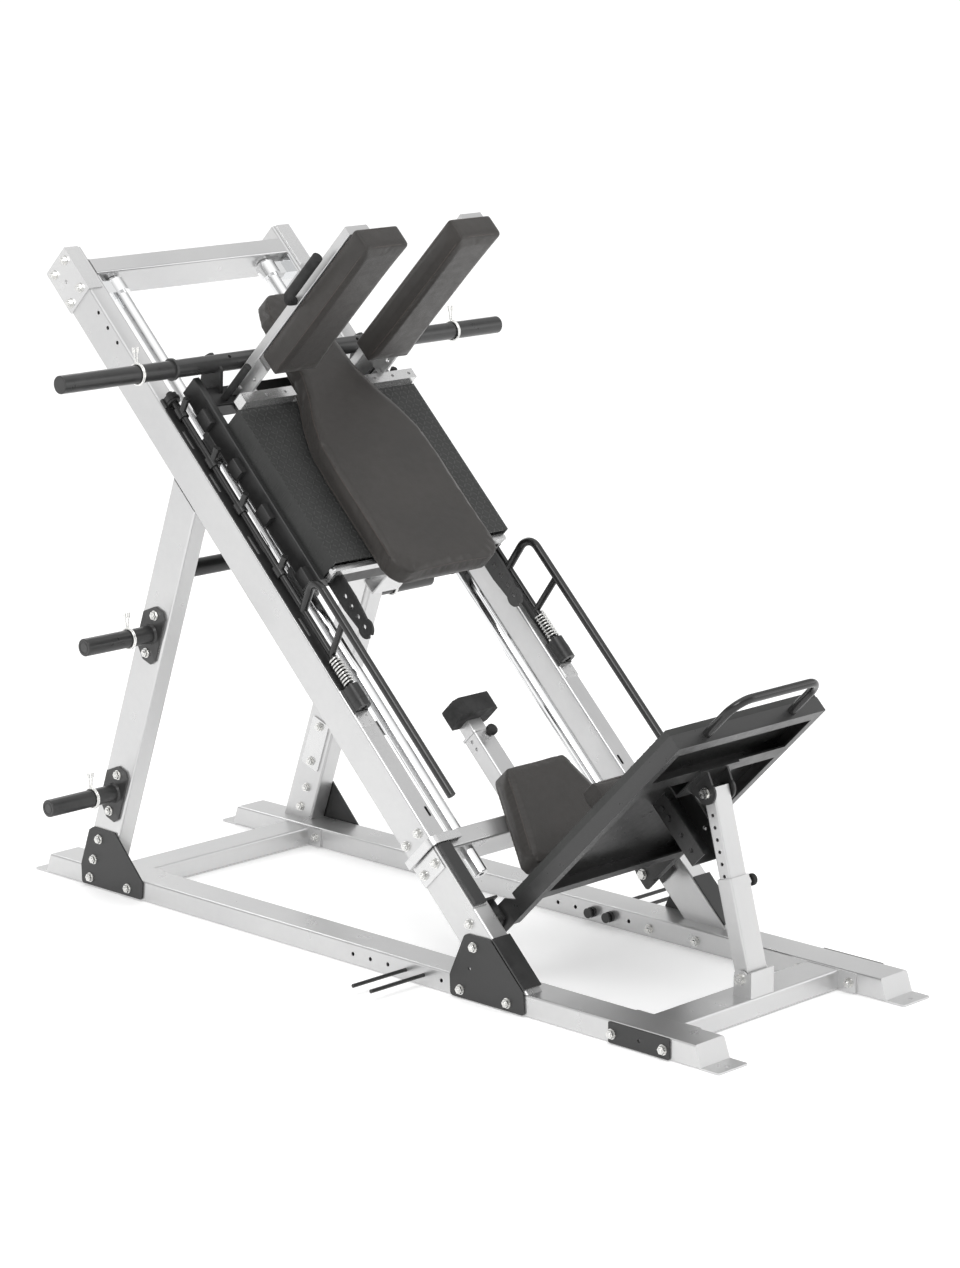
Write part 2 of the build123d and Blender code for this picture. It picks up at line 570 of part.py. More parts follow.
# ============================================================================
# SEAT POST INNER TUBE (carries the carriage stop)
# ============================================================================
with BuildPart() as seat_post_inner:
    tube(across(356.5), 50.2, 41.5, 356.5 - 150.0, wall=3, r=4, y=SP_NC)
finish(seat_post_inner, "seat_post_inner")

with BuildPart() as stop_bumper:
    shape(across(405.3), [(-65, 430), (-52, 416), (52, 416), (65, 430), (65, 484), (52, 495), (-52, 495), (-65, 484)], 405.3 - 356.5)
finish(stop_bumper, "stop_bumper")


def pull_pin(plane, nose, name):
    """pull pin on a plane: nose down into the tube wall, neck, ball knob"""
    with BuildPart() as pin:
        with BuildSketch(plane.offset(-nose)) as sk:
            Circle(5.0)
        extrude(sk.sketch, amount=nose + 14)
        with BuildSketch(plane.offset(13.5)) as sk:
            Circle(8)
        extrude(sk.sketch, amount=7)
        with BuildSketch(plane.offset(20.0)) as sk:
            Circle(15)
        extrude(sk.sketch, amount=16)
        fillet(pin.edges().filter_by(GeomType.CIRCLE).filter_by(lambda e: abs(e.radius - 15) < 0.01), 5)
    finish(pin, name)
    return pin


seat_pin = pull_pin(face(SP_N1, x=0, u=300.0), 3.9, "seat_pull_pin")
with BuildPart() as seat_pin_collar:
    with BuildSketch(face(SP_N1, x=0, u=300.0)) as sk:
        RegularPolygon(13, 6, major_radius=True)
        Circle(5.3, mode=Mode.SUBTRACT)
    extrude(sk.sketch, amount=13.0)
with BuildPart() as seat_post:
    add([seat_post_outer.part, seat_pin_collar.part])
finish(seat_post, "seat_post_outer")

# ============================================================================
# FOOTPLATE
# ============================================================================
with BuildPart() as footplate:
    # deck sheet
    block(side(-FP_X), FP_U1 - 5, FP_U1, FP_N0, FP_N1, 2 * FP_X)
    # head and foot returns
    block(side(-FP_X), FP_U0, FP_U1, FP_N1 - 5, FP_N1, 2 * FP_X)
    block(side(-FP_X), FP_U0, FP_U0 + 5, FP_N1 - 34, FP_N1, 2 * FP_X)
    block(side(-FP_X), FP_U0, FP_U1, FP_N0, FP_N0 + 5, 2 * FP_X)
    block(side(-FP_X), FP_U0, FP_U0 + 5, FP_N0, FP_N0 + 30, 2 * FP_X)
    # side flanges, running down to the hinge
    for x0 in (-FP_X, FP_X - 5):
        with BuildSketch(side(x0)) as sk:
            with BuildLine():
                Polyline((FP_U1, FP_N1), (FP_U0, FP_N1), (FP_U0, 402), (-200, 396.5), (-152, 396.5), (-143, 404), (-143, 470), (FP_U1, 500), close=True)
            make_face()
            with Locations((HINGE_U, HINGE_N)):
                Circle(10.05, mode=Mode.SUBTRACT)
        extrude(sk.sketch, amount=5)
    # turned-in lips under the flanges
    for x0 in (-FP_X, FP_X - 26):
        block(side(x0), FP_U0, FP_U0 + 5, 446, FP_N1 - 10, 26)
    # stiffening channel
    block(side(-FP_X), FP_U0, FP_U1 - 2, 1006, 1011, 2 * FP_X)
    block(side(-FP_X), FP_U0, FP_U0 + 5, 1006, 1052, 2 * FP_X)
finish(footplate, "footplate")

with BuildPart() as tread:
    block(side(-FP_X + 0.5), FP_U1, FP_U2 + 2, 500, FP_N1 - 2, 2 * FP_X - 1, r=1.5)
    for k in range(25):
        nn = 520 + k * 27.5
        for xx in (-FP_X + 9, FP_X - 9):
            with BuildSketch(Plane(origin=at(xx, FP_U2 + 2, nn), x_dir=(1, 0, 0), z_dir=(0, 1, 1))) as sk:
                Circle(6)
            extrude(sk.sketch, amount=2.5, taper=35)
finish(tread, "footplate_tread")

with BuildPart() as footplate_handle:
    HR = 11.0
    with BuildLine() as ln:
        FilletPolyline(at(-155, -186, FP_N1), at(-155, -186, 1331), at(155, -186, 1331), at(155, -186, FP_N1), radius=52)
    with BuildSketch(Plane(origin=at(-155, -186, FP_N1), x_dir=(1, 0, 0), z_dir=(0, -1, 1))) as sk:
        Circle(HR)
    sweep(sk.sketch, path=ln.wires()[0])
finish(footplate_handle, "footplate_handle")

with BuildPart() as footplate_block:
    shape(side(-94), [(FP_U2 + 5, 705), (-44, 705), (-32, 715), (-32, 757), (-44, 767), (FP_U2 + 5, 767)], 188)
finish(footplate_block, "footplate_block")

PU, PN = (POST_HI[0] + POST_HI[1]) / R2, (POST_HI[1] - POST_HI[0]) / R2
with BuildPart() as head_bracket:
    for x0 in (-39.0, 33.0):
        with BuildSketch(side(x0)) as sk:
            with BuildLine():
                Polyline((FP_U0, PN - 42), (FP_U0, PN + 42), (PU, PN + 28), (PU, PN - 28), close=True)
            make_face()
            with Locations((PU, PN)):
                Circle(29)
            with Locations((PU, PN)):
                Circle(8.05, mode=Mode.SUBTRACT)
        extrude(sk.sketch, amount=6)
    block(side(-70), FP_U0 - 5, FP_U0, PN - 60, PN + 52, 140)
    # legs up to the deck
    block(side(-70), FP_U0, FP_U1 - 5, PN - 60, PN - 54, 140)

with BuildPart() as head_bolt:
    a = Plane(origin=(-51.0, POST_HI[0], POST_HI[1]), x_dir=(0, 1, 0), z_dir=(1, 0, 0))
    with BuildSketch(a) as sk:
        RegularPolygon(12.5, 6, major_radius=True)
    extrude(sk.sketch, amount=9)
    with BuildSketch(a.offset(9)) as sk:
        Circle(14)
    extrude(sk.sketch, amount=3)
    with BuildSketch(a.offset(12)) as sk:
        Circle(8.0)
    extrude(sk.sketch, amount=78)
    with BuildSketch(a.offset(90)) as sk:
        Circle(14)
    extrude(sk.sketch, amount=3)
    with BuildSketch(a.offset(93)) as sk:
        RegularPolygon(12.5, 6, major_radius=True)
    extrude(sk.sketch, amount=9)
finish(head_bolt, "head_bolt")

with BuildPart() as stow_arm:
    ARM_N0, ARM_N1, ARM_U = 842.0, 894.0, -352.0
    block(side(-45), ARM_U, FP_U1 - 5, ARM_N0, ARM_N1, 5)
    block(side(40), ARM_U, FP_U1 - 5, ARM_N0, ARM_N1, 5)
    block(side(-45), ARM_U, FP_U1 - 5, ARM_N0, ARM_N0 + 5, 90)
    for uu in (-277, -322):
        disc(side(-50, uu, 868), 6, 100, mode=Mode.SUBTRACT)
    for uu in (-196, -223):
        disc(side(-49, uu, 862), 7.5, 4)
with BuildPart() as footplate_brackets:
    add([head_bracket.part, stow_arm.part])
finish(footplate_brackets, "footplate_brackets")

# ============================================================================
# SUPPORT POST
# ============================================================================
PDY, PDZ = POST_HI[0] - POST_LO[0], POST_HI[1] - POST_LO[1]
POST_L = hypot(PDY, PDZ)
POST_A = degrees(atan2(PDY, PDZ))


def post_plane(d, x=0.0):
    """plane across the post at distance d from the foot pivot; local (X, across)"""
    a = radians(POST_A)
    return lean(POST_LO[0] + d * sin(a), POST_LO[1] + d * cos(a), POST_A, x)


def post_side(x, d):
    """plane facing +X with origin on the post axis; local (along post, back)"""
    a = radians(POST_A)
    return Plane(origin=(x, POST_LO[0] + d * sin(a), POST_LO[1] + d * cos(a)), x_dir=(0, sin(a), cos(a)), z_dir=(1, 0, 0))


with BuildPart() as post_lower:
    tube(post_plane(0), 70, 46, 242, wall=4.6, r=5)
    for x0 in (-35.0, 30.4):
        with BuildSketch(post_side(x0, 0)) as sk:
            Circle(23)
        extrude(sk.sketch, amount=4.6)
    block(post_plane(12), -35, 35, -23, 23, 5)
    disc(post_side(-40, 0), 8.05, 80, mode=Mode.SUBTRACT)
    disc(post_side(25, 222), 5.3, 20, mode=Mode.SUBTRACT)

with BuildPart() as post_upper:
    tube(post_plane(150), 60, 36, POST_L + 10 - 150, wall=3, r=4)
    block(post_plane(POST_L + 6), -30, 30, -18, 18, 4, r=4)
    disc(post_side(-40, POST_L), 11.0, 80, mode=Mode.SUBTRACT)
    for k in range(6):
        disc(post_side(-40, 397 - 29.8 * k), 4.6, 80, mode=Mode.SUBTRACT)
finish(post_upper, "post_upper")

a0 = post_side(35.0, 222)
post_pin = pull_pin(Plane(origin=a0.origin, x_dir=(0, 1, 0), z_dir=(1, 0, 0)), 4.0, "post_pull_pin")
with BuildPart() as post_pin_collar:
    with BuildSketch(Plane(origin=a0.origin, x_dir=(0, 1, 0), z_dir=(1, 0, 0))) as sk:
        RegularPolygon(13, 6, major_radius=True)
        Circle(5.3, mode=Mode.SUBTRACT)
    extrude(sk.sketch, amount=13.0)
with BuildPart() as post_foot:
    add([post_lower.part, post_pin_collar.part])
finish(post_foot, "post_lower")

# ============================================================================
# CARRIAGE
# ============================================================================
with BuildPart() as carriage_frame:
    for s in (-1, 1):
        x0, x1 = sorted((s * 307.5, s * 327.5))
        block(across(1432.0), x0, x1, 506, 568.5, 1432.0 - 778.0, r=3)
        # catch blocks beside the safety bar hooks
        for uu in HOOKS_U:
            xa, xb = sorted((s * 326.0, s * 345.0))
            block(across(uu - 26), xa, xb, 514, 552, 46, r=2)
        # sleeve cheeks
        xa = -270.0 if s < 0 else 262.0
        shape(side(xa), [(1376, 512), (1376, 566), (1418, 612), (1474, 612), (1482, 590), (1440, 512)], 8, r=6)
        disc(side(xa - 1, SLEEVE_U, SLEEVE_N), SLEEVE_R, 10, mode=Mode.SUBTRACT)
        # hangers down to the guide rod bushings
        for (u0, u1) in ((800, 880), (1240, 1320)):
            xa, xb = sorted((s * 285.0, s * 307.6))
            block(across(u1), xa, xb, ROD_N + 20, 530, u1 - u0)
            disc(across(u1 + 1, x=s * ROD_X, n=ROD_N), 28, u1 - u0 + 2, mode=Mode.SUBTRACT)
    # head and foot cross tubes
    tube(Plane(origin=at(-307.5, 1370, 538), x_dir=(0, 1, 1), z_dir=(1, 0, 0)), 60, 52, 615, wall=3, r=5)
    tube(Plane(origin=at(-307.5, 808, 538), x_dir=(0, 1, 1), z_dir=(1, 0, 0)), 44, 52, 615, wall=3, r=5)
finish(carriage_frame, "carriage_frame")

with BuildPart() as rod_bushings:
    for s in (-1, 1):
        for (u0, u1) in ((800, 880), (1240, 1320)):
            disc(across(u1, x=s * ROD_X, n=ROD_N), 28, u1 - u0)
            disc(across(u1 + 1, x=s * ROD_X, n=ROD_N), ROD_R + FIT, u1 - u0 + 2, mode=Mode.SUBTRACT)
finish(rod_bushings, "rod_bushings")

with BuildPart() as carriage_plate:
    block(face(CAR_N - 4), -CAR_X, CAR_X, 784, 1276, 4)
    for x0 in (-CAR_X, CAR_X - 4):
        block(side(x0), 784, 1276, 568.5, CAR_N, 4)
    # ribs that carry the sheet on the frame
    block(side(-200), 815, 821, 564.0, CAR_N - 4, 400)
    block(side(-200), 1262, 1268, 520.0, CAR_N - 4, 400)
    for x0 in (-200.0, 194.0):
        block(side(x0), 815, 1268, 580.0, CAR_N - 4, 6)
        block(side(x0), 1262, 1340, 520.0, 560.0, 6)
finish(carriage_plate, "carriage_plate")

with BuildPart() as carriage_bars:
    # foot bar under the lower edge of the plate
    block(side(-305), 768, 784, 590.0, 612.0, 610)
    for s in (-1, 1):
        x0, x1 = sorted((s * 305.0, s * 311.5))
        disc(side(x0, 776, 601), 7.5, 6.5)
        # legs down to the frame foot tube
        xa, xb = sorted((s * 296.0, s * 304.0))
        block(side(xa), 768, 784, 563.0, 592.0, 8)
    # head bars either side of the back pad
    for s in (-1, 1):
        x0, x1 = sorted((s * 128.0, s * 305.0))
        block(side(x0), 1276, 1306, CAR_N - 6, 658.0, x1 - x0)
        for xx in (160, 225, 285):
            disc(face(650, x=s * xx, u=1291), 4.5, 12, mode=Mode.SUBTRACT)
        # struts from the head bar to the head cross tube
        xa, xb = sorted((s * 215.0, s * 231.0))
        block(side(xa), 1300, 1340, 540.0, CAR_N, 16)

with BuildPart() as stop_bracket:
    # box under the foot tube that lands on the bumper
    tube(Plane(origin=at(-46, 808, 470), x_dir=(0, 1, 1), z_dir=(1, 0, 0)), 48, 84, 92, wall=4, r=5)
with BuildPart() as carriage_fittings:
    add([carriage_bars.part, stop_bracket.part])
finish(carriage_fittings, "carriage_fittings")

with BuildPart() as weight_sleeve:
    disc(side(-SLEEVE_X, SLEEVE_U, SLEEVE_N), SLEEVE_R, 2 * SLEEVE_X)
    ends = weight_sleeve.faces().filter_by(GeomType.PLANE)
    fillet(ends.edges(), 3.0)
    for s in (-1, 1):
        xa, xb = sorted((s * 408.0, s * 415.0))
        disc(side(xa, SLEEVE_U, SLEEVE_N), 29.0, 7.0)
    disc(side(-SLEEVE_X + 8, SLEEVE_U, SLEEVE_N), SLEEVE_R - 5, 2 * SLEEVE_X - 16, mode=Mode.SUBTRACT)
    for s in (-1, 1):
        disc(face(SLEEVE_N, x=s * 227.5, u=SLEEVE_U), 5.0, 40, mode=Mode.SUBTRACT)
finish(weight_sleeve, "weight_sleeve")

with BuildPart() as band_plates:
    for s in (-1, 1):
        xa = s * 268.75 - 3
        with BuildSketch(side(xa)) as sk:
            with BuildLine():
                Polyline((786, 530), (786, 587), (700, 587), (625, 578), (625, 539), (700, 530), close=True)
            make_face()
            with Locations((620, 558.5)):
                Circle(26)
            with Locations(*[(722.8 - 32.2 * k, 558.5) for k in range(5)]):
                Circle(6.5, mode=Mode.SUBTRACT)
        extrude(sk.sketch, amount=6)
finish(band_plates, "band_plates")

with BuildPart() as back_pad:
    shape(face(CAR_N + 0.5),
          [(-50, 1584), (50, 1584), (77.5, 1519), (88, 1430), (100, 1319), (125, 1248), (156, 1181.5), (181, 1106.5), (187.5, 1019), (187.5, 681.5),
           (-187.5, 681.5), (-187.5, 1019), (-181, 1106.5), (-156, 1181.5), (-125, 1248), (-100, 1319), (-88, 1430), (-77.5, 1519)], 55.8,
          radii=[((187.5, 681.5), 56), ((-187.5, 681.5), 56), ((50, 1584), 24), ((-50, 1584), 24), ((77.5, 1519), 30), ((-77.5, 1519), 30)])
finish(back_pad, "back_pad")

with BuildPart() as shoulder_pad:
    shape(side(-240.0), [(1297, 725), (1363.5, 725), (1363.5, 1216), (1360, 1220), (1303, 1220), (1297, 1214)], 148.8)
pair(shoulder_pad, "shoulder_pad")

with BuildPart() as pad_arm:
    tube(face(566.0), 76, 26, 1196 - 566, wall=3, r=3, x=-202, y=1377)
    # closing cap
    block(face(1192.0), -240, -164, 1364, 1390, 4, r=3)
    # flat bar beside the pad foot
    block(side(-240.0), 1322, 1364.0, 612.0, 716.0, 7)
    disc(side(-245.0, 1336, 665), 6, 20, mode=Mode.SUBTRACT)
    block(side(-240.0), 1330, 1350, 564.5, 616.0, 7)
both(pad_arm, "pad_arms")

with BuildPart() as hand_grips:
    for s in (-1, 1):
        with BuildLine() as ln:
            FilletPolyline(at(s * 240.0, 1378, 926), at(s * 276.0, 1378, 926), at(s * 276.0, 1378, 1100), radius=22)
        with BuildSketch(Plane(origin=at(s * 240.0, 1378, 926), x_dir=(0, 1, 1), z_dir=(s, 0, 0))) as sk:
            Circle(10.5)
        sweep(sk.sketch, path=ln.wires()[0])
        disc(face(948.0, x=s * 276.0, u=1378), 14.0, 152)

with BuildPart() as catch_pegs:
    for s in (-1, 1):
        disc(face(564.0, x=s * 262.0, u=1362), 10.0, 690.0 - 564.0)
with BuildPart() as grips:
    add([hand_grips.part, catch_pegs.part])
finish(grips, "hand_grips")

# ============================================================================
# SAFETY BARS
# ============================================================================
def hook_path(x, u):
    return [at(x, u, SAFE_N), at(x, u + 13, SAFE_N + 44)]


with BuildPart() as safety_bar:
    disc(across(1438.0, x=-SAFE_X, n=SAFE_N), SAFE_R, 1438.0 - 436.0)
    for uu in HOOKS_U:
        p = Plane(origin=at(-SAFE_X, uu, SAFE_N), x_dir=(1, 0, 0), z_dir=(at(0, uu + 13, SAFE_N + 44) - at(0, uu, SAFE_N)))
        with BuildSketch(p) as sk:
            Circle(9.0)
        extrude(sk.sketch, amount=46)
        with BuildSketch(Plane(origin=at(-SAFE_X, uu + 14, SAFE_N), x_dir=(1, 0, 0), z_dir=(0, -1, -1))) as sk:
            Circle(14.0)
        extrude(sk.sketch, amount=30)
    # grab loop and long handle rod
    with BuildLine() as ln:
        FilletPolyline(at(-SAFE_X, 738, SAFE_N), at(-HANDLE_X, 766, HANDLE_N), at(-HANDLE_X, 92.8, HANDLE_N), radius=34)
    d0 = (at(-HANDLE_X, 766, HANDLE_N) - at(-SAFE_X, 738, SAFE_N)).normalized()
    with BuildSketch(Plane(origin=at(-SAFE_X, 738, SAFE_N), z_dir=d0)) as sk:
        Circle(HANDLE_R)
    sweep(sk.sketch, path=ln.wires()[0])
    q0, q1 = at(-SAFE_X, 596, SAFE_N), at(-HANDLE_X, 622, HANDLE_N)
    with BuildSketch(Plane(origin=q0, z_dir=(q1 - q0))) as sk:
        Circle(9.0)
    extrude(sk.sketch, amount=(q1 - q0).length)
pair(safety_bar, "safety_bar")

with BuildPart() as safety_spring:
    SPR_L = 78.0
    with BuildLine() as ln:
        Helix(pitch=9.0, height=SPR_L, radius=14.0, center=at(-SAFE_X, 582.0, SAFE_N), direction=(0, -1, -1))
    st = ln.edges()[0]
    with BuildSketch(Plane(origin=st @ 0, z_dir=(st % 0))) as sk:
        Circle(2.8)
    sweep(sk.sketch, path=ln.wires()[0], is_frenet=True)
both(safety_spring, "safety_springs")

# ============================================================================
# SPRING COLLARS: two wire turns and two thumb tails
# ============================================================================
def collar(name, x, y, z, s):
    with BuildPart() as c:
        a = Plane(origin=(x, y, z), x_dir=(0, 0, 1), z_dir=(s, 0, 0))
        for off in (-2.3, 2.3):
            with BuildSketch(Plane(origin=a.offset(off).origin, x_dir=(0, 0, 1), z_dir=(0, 1, 0))) as sk:
                # wire section above the sleeve, revolved round its axis
                with Locations((SLEEVE_R + 3.2, 0)):
                    Circle(2.6)
            revolve(sk.sketch, axis=Axis((x, y, z), (1, 0, 0)))
        for off, tilt in ((-2.3, -10.0), (2.3, 10.0)):
            p0 = Vector(x + s * off, y + 4, z + SLEEVE_R + 2.0)
            p1 = Vector(x + s * (off * 3.0), y + 6, z + SLEEVE_R + 42.0)
            with BuildSketch(Plane(origin=p0, z_dir=(p1 - p0))) as sk:
                Circle(2.2)
            extrude(sk.sketch, amount=(p1 - p0).length)
            with BuildSketch(Plane(origin=p0 + (p1 - p0) * 0.72, z_dir=(p1 - p0))) as sk:
                Circle(4.2)
            extrude(sk.sketch, amount=(p1 - p0).length * 0.34)
    finish(c, name)


SY, SZ = yz(SLEEVE_U, SLEEVE_N)
collar("collar_main_l", -523.8, SY, SZ, -1)
collar("collar_main_r", 602.5, SY, SZ, 1)
for pname, (py, pz) in PEGS.items():
    collar("collar_%s_l" % pname, -475.0, py, pz, -1)
    collar("collar_%s_r" % pname, 475.0, py, pz, 1)
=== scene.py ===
import bpy
import bmesh
import math
import numpy as np
from mathutils import Vector, Matrix, noise


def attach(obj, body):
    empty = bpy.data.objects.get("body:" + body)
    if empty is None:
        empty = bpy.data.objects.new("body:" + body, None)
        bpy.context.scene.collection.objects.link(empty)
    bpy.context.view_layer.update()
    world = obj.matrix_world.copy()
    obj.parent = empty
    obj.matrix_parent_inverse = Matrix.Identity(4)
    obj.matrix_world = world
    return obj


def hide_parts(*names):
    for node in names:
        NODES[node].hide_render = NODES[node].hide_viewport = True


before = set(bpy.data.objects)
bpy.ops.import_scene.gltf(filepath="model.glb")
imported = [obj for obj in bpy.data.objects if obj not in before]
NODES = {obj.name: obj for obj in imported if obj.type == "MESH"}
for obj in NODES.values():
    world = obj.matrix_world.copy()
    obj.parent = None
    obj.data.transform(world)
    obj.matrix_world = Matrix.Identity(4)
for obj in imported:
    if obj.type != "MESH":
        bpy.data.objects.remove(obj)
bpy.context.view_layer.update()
R2 = math.sqrt(2.0)
scene = bpy.context.scene


def at(x, u, n):
    """point from lateral x, along-slope u and slope-normal n, all in millimetres"""
    return Vector((x / 1000.0, (u - n) / R2 / 1000.0, (u + n) / R2 / 1000.0))


# --------------------------------------------------------------------------
# node material helpers
# --------------------------------------------------------------------------
class Mat:
    def __init__(self, name, **bsdf):
        self.m = bpy.data.materials.new(name)
        self.m.use_nodes = True
        self.nt = self.m.node_tree
        self.b = self.nt.nodes["Principled BSDF"]
        for k, v in bsdf.items():
            self.b.inputs[k.replace("_", " ")].default_value = v
        self.coord = self.nt.nodes.new("ShaderNodeTexCoord").outputs["Object"]

    def link(self, a, b):
        self.nt.links.new(a, b)

    def set(self, sock, v):
        if isinstance(v, (int, float, tuple, list)):
            sock.default_value = v
        else:
            self.link(v, sock)

    def math(self, op, a, b=0.0, c=0.0, clamp=False):
        n = self.nt.nodes.new("ShaderNodeMath")
        n.operation = op
        n.use_clamp = clamp
        self.set(n.inputs[0], a)
        self.set(n.inputs[1], b)
        self.set(n.inputs[2], c)
        return n.outputs[0]

    def noise(self, scale, detail=3.0, rough=0.5, vec=None, dist=0.0):
        n = self.nt.nodes.new("ShaderNodeTexNoise")
        n.inputs["Scale"].default_value = scale
        n.inputs["Detail"].default_value = detail
        n.inputs["Roughness"].default_value = rough
        n.inputs["Distortion"].default_value = dist
        self.link(vec or self.coord, n.inputs["Vector"])
        return n.outputs["Fac"]

    def voronoi(self, scale, feature="F1", vec=None, rand=1.0):
        n = self.nt.nodes.new("ShaderNodeTexVoronoi")
        n.feature = feature
        n.inputs["Scale"].default_value = scale
        n.inputs["Randomness"].default_value = rand
        self.link(vec or self.coord, n.inputs["Vector"])
        return n.outputs["Distance"]

    def mapping(self, rot=(0, 0, 0), scale=(1, 1, 1)):
        n = self.nt.nodes.new("ShaderNodeMapping")
        n.inputs["Rotation"].default_value = rot
        n.inputs["Scale"].default_value = scale
        self.link(self.coord, n.inputs["Vector"])
        return n.outputs["Vector"]

    def xyz(self, vec):
        n = self.nt.nodes.new("ShaderNodeSeparateXYZ")
        self.link(vec, n.inputs[0])
        return n.outputs

    def ramp(self, fac, stops):
        n = self.nt.nodes.new("ShaderNodeValToRGB")
        e = n.color_ramp.elements
        while len(e) < len(stops):
            e.new(0.5)
        for i, (p, c) in enumerate(stops):
            e[i].position = p
            e[i].color = (c[0], c[1], c[2], 1.0)
        self.link(fac, n.inputs[0])
        return n.outputs["Color"]

    def maprange(self, v, a, b, c, d):
        n = self.nt.nodes.new("ShaderNodeMapRange")
        self.set(n.inputs["Value"], v)
        n.inputs["From Min"].default_value = a
        n.inputs["From Max"].default_value = b
        n.inputs["To Min"].default_value = c
        n.inputs["To Max"].default_value = d
        return n.outputs["Result"]

    def bump(self, height, strength, distance, prev=None):
        n = self.nt.nodes.new("ShaderNodeBump")
        n.inputs["Strength"].default_value = strength
        n.inputs["Distance"].default_value = distance
        self.link(height, n.inputs["Height"])
        if prev is not None:
            self.link(prev, n.inputs["Normal"])
        return n.outputs["Normal"]

    def color(self, sock):
        self.link(sock, self.b.inputs["Base Color"])

    def rough(self, sock):
        self.link(sock, self.b.inputs["Roughness"])

    def normal(self, sock):
        self.link(sock, self.b.inputs["Normal"])


def silver(name, v=0.60, metallic=0.80, r0=0.27, r1=0.33):
    """satin silver lacquer over steel: brushed streaks under the lacquer and slow tone drift"""
    m = Mat(name, Metallic=metallic)
    n = m.noise(3.0, 4.0, 0.55)
    fine = m.noise(1.0, 2.0, vec=m.mapping(scale=(700.0, 60.0, 60.0)))
    m.color(m.ramp(m.math("ADD", m.math("MULTIPLY", n, 0.8), m.math("MULTIPLY", fine, 0.2)),
                   [(0.3, (v * 0.95, v * 0.95, v * 0.955)), (0.7, (v * 1.05, v * 1.05, v * 1.045))]))
    m.rough(m.maprange(m.noise(14.0, 3.0, 0.5), 0.3, 0.7, r0, r1))
    m.normal(m.bump(fine, 0.02, 0.0001))
    return m.m


def black(name, v=0.013, r0=0.30, r1=0.44, grain=0.10):
    """black powder coat: fine grain, with a painted highlight lightening the convex edges"""
    m = Mat(name, Metallic=0.0)
    n = m.noise(30.0, 5.0, 0.65)
    g = m.nt.nodes.new("ShaderNodeNewGeometry").outputs["Pointiness"]
    # painted highlight: convex edges, found by pointiness, are blended towards a lighter grey
    painted_edge_highlight = m.maprange(g, 0.52, 0.60, 0.0, 1.0)
    painted_highlight_mix = m.nt.nodes.new("ShaderNodeMix")
    painted_highlight_mix.data_type = "RGBA"
    m.link(m.math("MULTIPLY", painted_edge_highlight, 0.45, clamp=True), painted_highlight_mix.inputs["Factor"])
    m.link(m.ramp(n, [(0.3, (v * 0.8, v * 0.8, v * 0.8)), (0.7, (v * 1.25, v * 1.25, v * 1.25))]), painted_highlight_mix.inputs["A"])
    painted_highlight_mix.inputs["B"].default_value = (v * 3.2, v * 3.2, v * 3.2, 1)
    m.color(painted_highlight_mix.outputs["Result"])
    m.rough(m.maprange(n, 0.3, 0.7, r0, r1))
    m.normal(m.bump(m.noise(900.0, 2.0), grain, 0.0005))
    return m.m


def chrome(name, v=0.80, r0=0.05, r1=0.13, axis_rot=(-math.pi / 4, 0, 0)):
    """hard chrome on a ground rod: fine rings round the axis"""
    m = Mat(name, Metallic=1.0)
    vec = m.mapping(rot=axis_rot, scale=(4.0, 900.0, 4.0))
    n = m.noise(1.0, 3.0, vec=vec)
    m.color(m.ramp(m.noise(9.0), [(0.3, (v * 0.96, v * 0.97, v * 0.98)), (0.7, (v * 1.04, v * 1.04, v * 1.04))]))
    m.rough(m.maprange(n, 0.3, 0.7, r0, r1))
    m.normal(m.bump(n, 0.03, 0.0002))
    return m.m


def zinc(name, v=0.70):
    """bright zinc plate: slight mottling"""
    m = Mat(name, Metallic=1.0)
    m.color(m.ramp(m.voronoi(160.0), [(0.1, (v * 0.86, v * 0.87, v * 0.86)), (0.8, (v * 1.12, v * 1.11, v * 1.08))]))
    m.rough(m.maprange(m.noise(120.0, 4.0), 0.3, 0.7, 0.16, 0.34))
    m.normal(m.bump(m.noise(350.0, 3.0), 0.08, 0.0003))
    return m.m


def rubber(name, v=0.02):
    m = Mat(name)
    m.b.inputs["Specular IOR Level"].default_value = 0.35
    m.color(m.ramp(m.noise(25.0, 5.0), [(0.3, (v * 0.7,) * 3), (0.75, (v * 1.5,) * 3)]))
    m.rough(m.maprange(m.noise(60.0, 5.0), 0.3, 0.7, 0.55, 0.78))
    m.normal(m.bump(m.noise(700.0, 3.0), 0.2, 0.0006))
    return m.m


def vinyl(name, top=(0.027, 0.0243, 0.0222), rough=(0.40, 0.54)):
    """dark brown upholstery vinyl: pebbled grain, soft sheen, faint creases"""
    m = Mat(name)
    m.b.inputs["Specular IOR Level"].default_value = 0.42
    m.b.inputs["Sheen Weight"].default_value = 0.12
    m.b.inputs["Sheen Roughness"].default_value = 0.5
    big = m.noise(5.0, 5.0, 0.6)
    cells = m.voronoi(620.0, "DISTANCE_TO_EDGE")
    fine = m.noise(1500.0, 2.0)
    t = top
    m.color(m.ramp(m.math("ADD", big, m.math("MULTIPLY", m.noise(90.0, 4.0), 0.25)),
                   [(0.35, (t[0] * 0.82, t[1] * 0.82, t[2] * 0.82)), (0.85, (t[0] * 1.22, t[1] * 1.20, t[2] * 1.18))]))
    m.rough(m.maprange(m.noise(45.0, 5.0), 0.3, 0.7, rough[0], rough[1]))
    nrm = m.bump(m.noise(9.0, 3.0, dist=0.6), 0.10, 0.006)
    nrm = m.bump(m.math("MINIMUM", cells, 0.12), 0.55, 0.0011, nrm)
    m.normal(m.bump(fine, 0.10, 0.0003, nrm))
    return m.m


